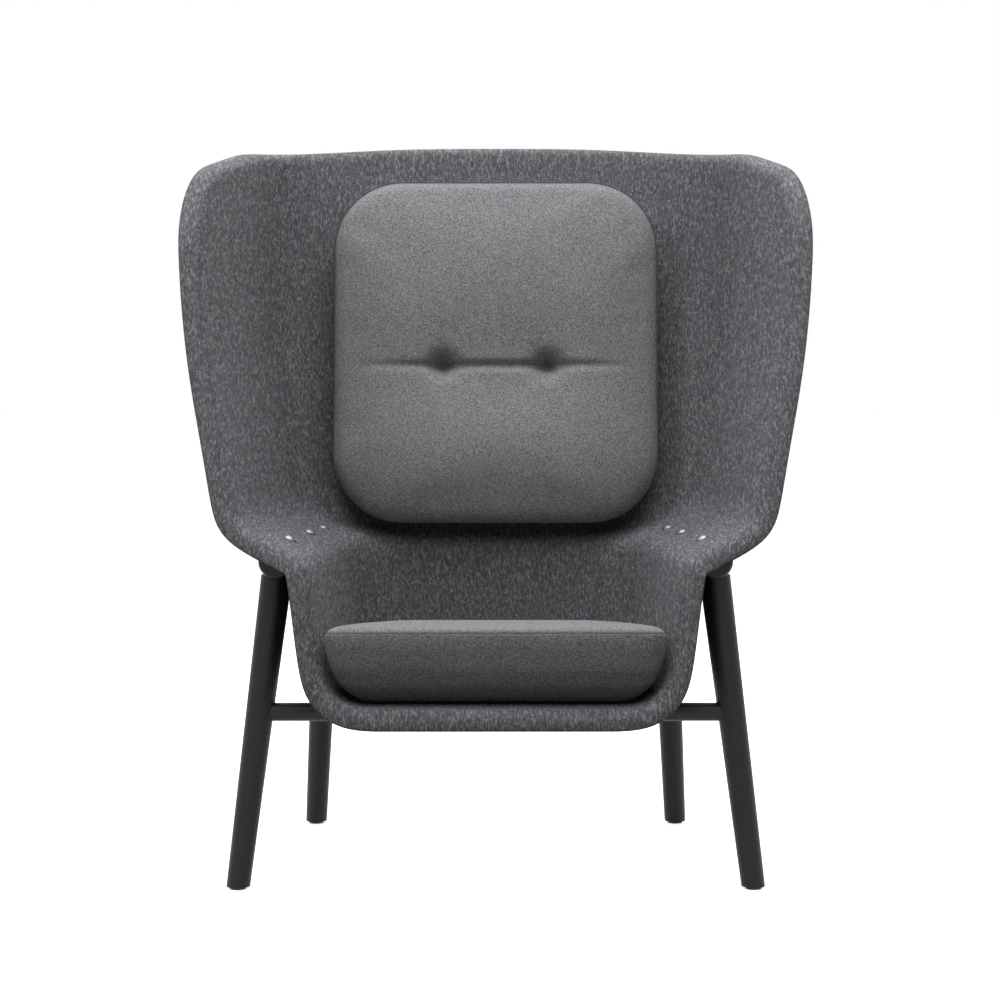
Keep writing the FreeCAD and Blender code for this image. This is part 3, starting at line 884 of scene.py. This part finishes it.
    def ribs(self) -> tuple[list, list]:
        """Rows of points of the right half, one row for each rib.

        Returns:
            The rows on the inner and on the outer face.
        """
        stations = self.stations()
        inner_rows, outer_rows = [], []
        for number, ((u0, v0), (u1, v1)) in enumerate(stations):
            inner, outer = [], []
            for j in range(self.rib_steps + 1):
                w = j / self.rib_steps
                u, v = mix(u0, u1, w), mix(v0, v1, w)
                point, normal = self.at(u, v), self.normal(u, v)
                inner.append(point)
                outer.append(point + normal * self.wall)
            along = self.rim(stations, number + 1) - self.rim(stations, number - 1)
            inner_lip, outer_lip = self._lip(inner[-1], normal, along.normalized())
            inner_rows.append(inner + inner_lip)
            outer_rows.append(outer + outer_lip)
        for row in (inner_rows[0], inner_rows[-1], outer_rows[0], outer_rows[-1]):
            for point in row:
                point.x = 0.0
        return inner_rows, outer_rows

    def _sheets(self, bm: BMesh) -> dict[bmesh.types.BMVert, Pair]:
        """Make both faces of the right half.

        Args:
            bm: The mesh that gets them.

        Returns:
            Each point's run along the rim and down its rib, in metres.
        """
        places = {}
        for rows in self.ribs():
            rim_run = 0.0
            verts = sheet_of(bm, rows)
            width = len(rows[0])
            for i, row in enumerate(rows):
                rim_run += (row[-1] - rows[i - 1][-1]).length if i else 0.0
                rib_run = 0.0
                for j in range(width - 1, -1, -1):
                    rib_run += (row[j] - row[j + 1]).length if j < width - 1 else 0.0
                    places[verts[i * width + j]] = (rim_run, rib_run)
        return places

    def build(self, finish: Material) -> Object:
        """Make the shell in the place of its solid.

        Args:
            finish: The felt.

        Returns:
            The shell.
        """
        bm = bmesh.new()
        layer = bm.loops.layers.uv.new("fibres")
        places = self._sheets(bm)
        for face in bm.faces:
            for loop in face.loops:
                loop[layer].uv = places[loop.vert]
        copy = bmesh.ops.duplicate(bm, geom=list(bm.faces) + list(bm.edges) + list(bm.verts))
        twins = [g for g in copy["geom"] if isinstance(g, bmesh.types.BMVert)]
        bmesh.ops.scale(bm, vec=(-1.0, 1.0, 1.0), verts=twins)
        middle = [v for v in bm.verts if abs(v.co.x) < MERGE]
        bmesh.ops.remove_doubles(bm, verts=middle, dist=WELD)
        rim_edges = [e for e in bm.edges if e.is_boundary and self._on_rim(e)]
        bmesh.ops.bridge_loops(bm, edges=rim_edges)
        bmesh.ops.holes_fill(bm, edges=[e for e in bm.edges if e.is_boundary], sides=0)
        bmesh.ops.recalc_face_normals(bm, faces=bm.faces)
        bmesh.ops.translate(bm, vec=(0.0, self.foot_line, 0.0), verts=bm.verts)
        shell = piece("moulded_shell", bm, finish, BODY_FIXED)
        smooth = shell.modifiers.new("smooth", "SUBSURF")
        smooth.levels = smooth.render_levels = self.smoothing
        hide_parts("felt_shell")
        return shell

    def _on_rim(self, edge: bmesh.types.BMEdge) -> bool:
        """Whether an open edge lies on the rim, and not round the pan.

        Args:
            edge: The edge.

        Returns:
            False for an edge in the pan's plane and within its outline.
        """
        below, above, behind = self.rim_gaps
        front_y, front_z = self.pan_front
        lowest, highest = front_z - self.wall - below, self.pan_z(front_y) + above
        ends = [v.co for v in edge.verts]
        flat = all(lowest < c.z < highest for c in ends)
        half = self.pan_halves[0]
        return not (flat and all(abs(c.x) < half and c.y > front_y + behind for c in ends))


# Cushions


@dataclass
class Cushion:
    """What both cushions share: remeshing, swelling and their seams."""

    shell: FeltShell
    voxel: float = 0.006
    frames: int = 20
    pressure: float = 1.6
    cap: float = 0.024
    softening: int = 10
    stiffness: tuple[float, ...] = (8.0, 8.0, 3.0, 40.0)
    mass: float = 0.3
    quality: int = 5
    cord_sides: int = 8

    def swell(self, obj: Object, pinned: Callable) -> None:
        """Fill the cover: remesh it, press it out between what is sewn, and cap it.

        Args:
            obj: The cushion, as a slightly smaller form.
            pinned: Weight from 0, free, to 1, held, for a point of the cover.
        """
        grid = obj.modifiers.new("grid", "REMESH")
        grid.mode = "VOXEL"
        grid.voxel_size = self.voxel
        settle(obj)
        self._press(obj, pinned)
        finer = obj.modifiers.new("finer", "SUBSURF")
        finer.levels = finer.render_levels = 1
        settle(obj)
        smoothen(obj.data)

    def _press(self, obj: Object, pinned: Callable) -> None:
        """Run the cloth for a few frames and keep a capped share of its motion.

        Args:
            obj: The remeshed cushion.
            pinned: Weight of a point of the cover.
        """
        start = [v.co.copy() for v in obj.data.vertices]
        group = obj.vertex_groups.new(name="sewn")
        for vert in obj.data.vertices:
            group.add([vert.index], pinned(vert.co), "REPLACE")
        cloth = obj.modifiers.new("cover", "CLOTH")
        cloth.settings.quality = self.quality
        cloth.settings.mass = self.mass
        for kind, amount in zip(("tension", "compression", "shear", "bending"), self.stiffness):
            setattr(cloth.settings, kind + "_stiffness", amount)
        cloth.settings.vertex_group_mass = "sewn"
        cloth.settings.use_pressure = True
        cloth.settings.uniform_pressure_force = self.pressure
        cloth.settings.effector_weights.gravity = 0.0
        cloth.collision_settings.use_collision = False
        cloth.point_cache.frame_start = 1
        cloth.point_cache.frame_end = self.frames
        for number in range(1, self.frames + 1):
            bpy.context.scene.frame_set(number)
        settle(obj)
        obj.vertex_groups.clear()
        for vert, was in zip(obj.data.vertices, start):
            moved = vert.co - was
            if moved.length > self.cap:
                vert.co = was + moved.normalized() * self.cap
        bpy.context.scene.frame_set(1)
        ironed = obj.modifiers.new("ironed", "SMOOTH")
        ironed.iterations = self.softening
        settle(obj)

    def cord(
        self, name: str, path: Sequence[Vector], radius: float, finish: Material, body: str
    ) -> Object:
        """Thin closed cord along a seam.

        Args:
            name: The piece's name.
            path: Points of the closed seam.
            radius: The cord's radius.
            finish: Its material.
            body: The body that it rides on.

        Returns:
            The cord's object.
        """
        rings = []
        count = len(path)
        angles = [2 * math.pi * k / self.cord_sides for k in range(self.cord_sides)]
        side = (path[1] - path[-1]).normalized().orthogonal()
        for i, point in enumerate(path):
            ahead = (path[(i + 1) % count] - path[i - 1]).normalized()
            if i:
                side = side - ahead * side.dot(ahead)
            side = side.normalized()
            over = ahead.cross(side)
            arms = [side * math.cos(a) + over * math.sin(a) for a in angles]
            rings.append([point + arm * radius for arm in arms])
        return piece(name, tube_of(rings, joined=True), finish, body)


@dataclass
class SeatCushion(Cushion):
    """Loose wedge cushion: flat front, a seam round its top and a low crown.

    A side ring is a share of the height, a part of the draw-in and a further inset.
    A crown ring is an inset and a part of the crown.
    """

    front_y: float = -114.0 * MM
    depth: float = 552.0 * MM
    halves: Pair = (256.0 * MM, 216.0 * MM)
    lift: float = 3.2 * MM
    side_height: float = 110.0 * MM
    wedge: float = math.radians(7.0)
    crown: float = 17.0 * MM
    cap: float = 4.0 * MM
    draw_in: float = 36.0 * MM
    corners: Pair = (30.0 * MM, 120.0 * MM)
    corner_losses: Pair = (0.3, 0.7)
    least_corners: Pair = (0.012, 0.02)
    steps: tuple[int, int] = (10, 16)
    side_rings: tuple[Triple, ...] = (
        (0.0, 1.0, 0.020), (0.1, 1.0, 0.004), (0.25, 0.62, 0.0),
        (0.5, 0.25, 0.0), (0.8, 0.05, 0.0), (1.0, 0.0, 0.0),
    )
    crown_rings: tuple[Pair, ...] = (
        (0.010, 0.45), (0.026, 0.68), (0.054, 0.85), (0.092, 0.95), (0.14, 1.0),
    )
    groove_depth: float = 0.0016
    groove_half: float = 0.0025
    groove_band: float = 0.012
    cord_radius: float = 0.0009
    cord_depth: float = 0.0006
    held_band: Pair = (0.02, 0.007)
    held_foot: float = 0.010

    def side_at(self, drawn: float) -> float:
        """Height of the side at a depth from the front feet."""
        return self.side_height - math.tan(self.wedge) * (drawn - self.front_y)

    def section(self, share: float, inset: float, rise: float = 0.0) -> list[Vector]:
        """Level outline of the cushion.

        Args:
            share: How far up the side, from 0 to 1.
            inset: How far it is drawn in.
            rise: Height added to it.

        Returns:
            The outline's points.
        """
        front, back = self.front_y + inset, self.front_y + self.depth - inset
        near, far = self.halves[0] - inset, self.halves[1] - inset
        points = []
        for x, y in ((-near, front), (near, front), (far, back), (-far, back)):
            z = self.shell.pan_z(y) + self.lift + self.side_at(y) * share + rise
            points.append(Vector((x, y + self.shell.foot_line, z)))
        sizes = zip(self.corners, self.corner_losses, self.least_corners)
        in_front, behind = (max(size - inset * loss, least) for size, loss, least in sizes)
        return rounded(points, (in_front, in_front, behind, behind), *self.steps)

    def seam_height(self, y: float) -> float:
        """Height of the top seam at a depth."""
        drawn = y - self.shell.foot_line
        return self.shell.pan_z(drawn) + self.lift + self.side_at(drawn)

    def build(self, finish: Material, thread: Material) -> Object:
        """Make the cushion and its seam.

        Args:
            finish: The wool.
            thread: The seam's thread.

        Returns:
            The cushion.
        """
        rings = [self.section(s, self.draw_in * part + more) for s, part, more in self.side_rings]
        rings += [self.section(1.0, inset, self.crown * part) for inset, part in self.crown_rings]
        cushion = piece("seat_pad", tube_of(rings), finish, BODY_SEAT)
        self.swell(cushion, self._sewn)
        centre_y = self.front_y + self.depth / 2 + self.shell.foot_line
        for vert in cushion.data.vertices:
            away = abs(vert.co.z - self.seam_height(vert.co.y))
            if self._edge_gap(vert.co) < self.groove_band:
                inward = Vector((-vert.co.x, -(vert.co.y - centre_y), 0)).normalized()
                vert.co += inward * (self.groove_depth * fall(away, self.groove_half))
        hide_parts("seat_cushion")
        seam = []
        for point in self.section(1.0, 0.0):
            outward = (point - Vector((0, centre_y, point.z))).normalized()
            seam.append(point + outward * -self.cord_depth)
        self.cord("seat_seam", seam, self.cord_radius, thread, BODY_SEAT)
        return cushion

    def _edge_gap(self, point: Vector) -> float:
        """Rough distance from the cushion's plan outline.

        Args:
            point: A point of the cover.

        Returns:
            The lesser of the gaps to the sides and to the ends.
        """
        share = (point.y - self.shell.foot_line - self.front_y) / self.depth
        half = mix(self.halves[0], self.halves[1], share)
        ends = min(abs(share), abs(1 - share)) * self.depth
        return min(abs(half - abs(point.x)), ends)

    def _sewn(self, point: Vector) -> float:
        """Hold the cover at its seam and over its foot.

        Args:
            point: A point of the cover.

        Returns:
            1 where it is held, and 0 elsewhere.
        """
        inwards, upright = self.held_band
        away = abs(point.z - self.seam_height(point.y))
        near_seam = self._edge_gap(point) < inwards and away < upright
        drawn = point.y - self.shell.foot_line
        low = point.z < self.shell.pan_z(drawn) + self.lift + self.held_foot
        return 1.0 if near_seam or low else 0.0


@dataclass
class BackCushion(Cushion):
    """Back cushion with round corners, two sewn tufts and the crease between.

    A side ring is a part of the thickness, a part of the draw-in and a further inset.
    A crown ring is a part of the draw-in and a part of the crown. A bell is a depth
    and its reach; the lumbar swell has two reaches, up and sideways.
    """

    half_width: float = 275.0 * MM
    height: float = 582.0 * MM
    bottom_z: float = 510.0 * MM
    thickness: float = 92.0 * MM
    corner: float = 118.0 * MM
    corner_loss: float = 0.8
    least_corner: float = 0.02
    crown: float = 14.0 * MM
    draw_in: float = 34.0 * MM
    rear: float = 3.1 * MM
    steps: tuple[int, int] = (14, 14)
    wall_spots: Pair = (0.75, 0.98)
    side_rings: tuple[Triple, ...] = (
        (0.0, 0.0, 0.052), (0.2, 0.0, 0.020), (0.5, 0.0, 0.0), (0.72, 0.12, 0.0),
    )
    crown_rings: tuple[Pair, ...] = (
        (0.45, 0.1), (0.95, 0.45), (1.9, 0.78), (3.2, 0.95), (4.6, 1.0),
    )
    seam_part: float = 0.7
    seam_draw_in: float = 0.1
    cord_radius: float = 0.0011
    cord_depth: float = 0.0004
    tuft_side: float = 87.5 * MM
    tuft_below_top: float = 318.0 * MM
    tuft_bell: Pair = (30.0 * MM, 0.022)
    tuft_squash: float = 1.15
    fold_bells: tuple[Pair, Pair] = ((0.010, 0.007), (0.014, 0.08))
    fold_half: float = 0.06
    fold_fade: float = 0.2
    lumbar: float = 20.0 * MM
    lumbar_height: float = 0.075
    lumbar_reaches: Pair = (0.115, 0.3)
    front_part: float = 0.45

    def __post_init__(self) -> None:
        """Set out the cushion's own axes on the flat of the back wall."""
        low, high = (self.shell.at(0, v) for v in self.wall_spots)
        self.up = (high - low).normalized()
        self.back = Vector((0, self.up.z, -self.up.y))
        self.wall = low + self.up * ((self.bottom_z - low.z) / self.up.z)
        self.wall += Vector((0, self.shell.foot_line, 0)) - self.back * self.rear
        self.tuft_level = self.height - self.tuft_below_top

    def at(self, x: float, z: float, forward: float) -> Vector:
        """Point at a side, a height along the back and a reach off its rear."""
        return Vector((x, 0, 0)) + self.wall + self.up * z - self.back * forward

    def local(self, point: Vector) -> Vector:
        """Side, height and reach of a point."""
        arm = point - self.wall
        return Vector((point.x, arm.dot(self.up), -arm.dot(self.back)))

    def section(self, forward: float, inset: float) -> list[Vector]:
        """Outline of the cushion, parallel to its rear.

        Args:
            forward: Its reach in front of the rear face.
            inset: How far it is drawn in.

        Returns:
            The outline's points.
        """
        low, high, half = inset, self.height - inset, self.half_width - inset
        places = ((-half, low), (half, low), (half, high), (-half, high))
        radius = max(self.corner - inset * self.corner_loss, self.least_corner)
        return rounded([self.at(x, z, forward) for x, z in places], (radius,) * 4, *self.steps)

    def build(self, finish: Material, thread: Material) -> Object:
        """Make the cushion and its seam.

        Args:
            finish: The wool.
            thread: The seam's thread.

        Returns:
            The cushion.
        """
        thick, drawn = self.thickness, self.draw_in
        edge = thick - self.crown
        rings = [self.section(thick * s, drawn * part + more) for s, part, more in self.side_rings]
        for part, rise in self.crown_rings:
            rings.append(self.section(edge + self.crown * rise, drawn * part))
        cushion = piece("back_pad", tube_of(rings), finish, BODY_FIXED)
        self.swell(cushion, self._sewn)
        for vert in cushion.data.vertices:
            vert.co += self.back * self._pull(self.local(vert.co))
        seam = self.section(thick * self.seam_part, drawn * self.seam_draw_in - self.cord_depth)
        self.cord("back_seam", seam, self.cord_radius, thread, BODY_FIXED)
        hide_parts("back_cushion")
        return cushion

    def _sewn(self, point: Vector) -> float:
        """Hold the cover's rear and its sides as far as the seam."""
        return 1.0 if self.local(point).z < self.thickness * self.seam_part else 0.0

    def _pull(self, place: Vector) -> float:
        """How far the tufts, the crease and the filling shift the front.

        Args:
            place: Side, height and reach of a point of the cover.

        Returns:
            The shift towards the rear.
        """
        if place.z < self.thickness * self.front_part:
            return 0.0
        rise = place.y - self.tuft_level
        depth, reach = self.tuft_bell
        made = 0.0
        for x in (-self.tuft_side, self.tuft_side):
            made += depth * fall(math.hypot(place.x - x, rise * self.tuft_squash), reach)
        across = 1.0 - ease(unit((abs(place.x) - self.fold_half) / self.fold_fade))
        (crease, crease_reach), (fold, fold_reach) = self.fold_bells
        folded = crease * fall(rise, crease_reach) + fold * fall(rise, fold_reach)
        upwards, sideways = self.lumbar_reaches
        swell = self.lumbar * fall(place.y - self.lumbar_height, upwards) * fall(place.x, sideways)
        return made + folded * across - swell


# Timber frame and fittings


@dataclass
class Fittings:
    """Dresses the solids that are kept as they are."""

    timbers: tuple = (
        (("right_side_rail", "left_side_rail"), (math.pi / 2, 0.0, 0.0)),
        (("front_cross_rail", "rear_cross_rail"), (0.0, math.pi / 2, 0.0)),
        (("right_front_leg", "left_front_leg", "right_rear_leg", "left_rear_leg"), (0.0, 0.0, 0.0)),
    )
    sharp: float = math.radians(28.0)
    head_rise: float = 1.5 * MM

    def dress(self, nodes: Sequence[str], finish: Material) -> None:
        """Give solids their finish and round their facets.

        Args:
            nodes: The nodes' names.
            finish: Their material.
        """
        for node in nodes:
            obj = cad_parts[node]
            mesh = obj.data
            mesh.materials.clear()
            mesh.materials.append(finish)
            mesh.polygons.foreach_set("material_index", [0] * len(mesh.polygons))
            smoothen(mesh)
            weld = obj.modifiers.new("weld", "WELD")
            weld.merge_threshold = WELD
            if len(obj.modifiers) > 1:
                obj.modifiers.move(len(obj.modifiers) - 1, 0)
            split = obj.modifiers.new("split", "EDGE_SPLIT")
            split.split_angle = self.sharp
            LOG.info("%s dressed with %s", node, finish.name)

    def build(self) -> None:
        """Dress the timber, the steel, the glides, the tapes and the rest."""
        for nodes, turn in self.timbers:
            for node in nodes:
                self.dress([node], StainedTimber("timber_" + node, turn).material())
        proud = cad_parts["ledge_screws"].modifiers.new("proud", "DISPLACE")
        proud.strength = self.head_rise
        proud.mid_level = 0.0
        self.dress(["leg_bolts", "ledge_screws"], SatinMetal().material())
        glides = [f"{side}_{end}_glide" for side in ("right", "left") for end in ("front", "rear")]
        self.dress(glides + ["tuft_toggles"], Plain.NYLON.material())
        tapes = [f"{pad}_{tape}_strips" for pad in ("seat", "back") for tape in ("hook", "loop")]
        self.dress(tapes, Plain.TAPE.material())
        self.dress(["tuft_ties"], Plain.THREAD.material())
        self.dress(["pan_pads"], Plain.RUBBER.material())


# Studio


@dataclass(frozen=True)
class Lamp:
    """One soft square lamp that looks at the chair."""

    name: str
    place: Triple
    size: float
    power: float

    def build(self, target: Vector) -> None:
        """Hang the lamp.

        Args:
            target: The point that it is turned to.
        """
        data = bpy.data.lights.new(self.name, "AREA")
        data.size = self.size
        data.energy = self.power
        lamp = shown(self.name, data)
        lamp.location = self.place
        lamp.rotation_euler = (target - lamp.location).to_track_quat("-Z", "Y").to_euler()


@dataclass
class Studio:
    """Pale floor, soft light and the camera at the photograph's angle."""

    camera_place: Triple = (0.0, -3.914, 0.8438)
    pitch: float = math.radians(3.96)
    yaw: float = math.radians(0.10)
    lens: float = 88.38
    sensor: float = 36.0
    floor_size: float = 40.0
    lamps: tuple[Lamp, ...] = (
        Lamp("front", (0.0, -3.6, 3.4), 2.4, 52.0),
        Lamp("top", (0.0, -0.4, 3.4), 2.2, 72.0),
        Lamp("left", (-2.6, -1.7, 3.2), 1.8, 46.0),
        Lamp("right", (2.6, -1.7, 3.2), 1.8, 22.0),
        Lamp("behind", (0.0, 2.0, 3.0), 2.0, 85.0),
    )
    lamp_target: Triple = (0.0, 0.0, 0.6)
    sky: float = 0.04
    bounce: float = 0.1
    glow: float = 0.78
    glow_range: Pair = (1.0, 7.0)
    floor_tone: float = 0.9

    def build(self) -> None:
        """Build the floor, the world, the lamps and the camera."""
        self._floor()
        self._world()
        for lamp in self.lamps:
            lamp.build(Vector(self.lamp_target))
        data = bpy.data.cameras.new("view")
        data.lens = self.lens
        data.sensor_width = self.sensor
        camera = shown("view", data)
        camera.location = self.camera_place
        camera.rotation_euler = (math.pi / 2 - self.pitch, 0.0, -self.yaw)
        bpy.context.scene.camera = camera
        bpy.context.scene.view_settings.view_transform = "Standard"

    def _floor(self) -> None:
        """Pale plane that keeps the chair's shadow and glows white far off."""
        bm = bmesh.new()
        bmesh.ops.create_grid(bm, x_segments=1, y_segments=1, size=self.floor_size / 2)
        floor = shown("floor", bm)
        finish, graph = fresh("pale_floor")
        seen = seen_share(graph)
        tone = graph.blend(seen, (self.bounce,) * 3, (self.floor_tone,) * 3)
        graph.set(Base_Color=tone, Roughness=0.8)
        spot = [graph.place("Object")]
        away = graph.node("ShaderNodeVectorMath", {"operation": "LENGTH"}, spot, "Value")
        glow = graph.blend(stretch(away, *self.glow_range), (self.glow,) * 3, WHITE)
        graph.set(Emission_Color=graph.blend(seen, BLACK, glow), Emission_Strength=1.0)
        graph.set(Specular_IOR_Level=0.1)
        floor.data.materials.append(finish)

    def _world(self) -> None:
        """Even pale light, white where the camera or a reflection sees it."""
        world = bpy.data.worlds.new("studio")
        bpy.context.scene.world = world
        graph = Graph(world, "BACKGROUND")
        seen = seen_share(graph)
        graph.set(Color=WHITE, Strength=seen * (1.0 - self.sky) + self.sky)


def main() -> None:
    """Build the chair piece by piece."""
    logging.basicConfig(level=logging.INFO, format="%(name)s %(message)s")
    felt = MouldedFelt().material()
    wool = HeatherWool().material()
    thread = Plain.THREAD.material()
    shell = FeltShell()
    shell.build(felt)
    SeatCushion(shell).build(wool, thread)
    BackCushion(shell).build(wool, thread)
    Fittings().build()
    Studio().build()


if __name__ == "__main__":
    main()
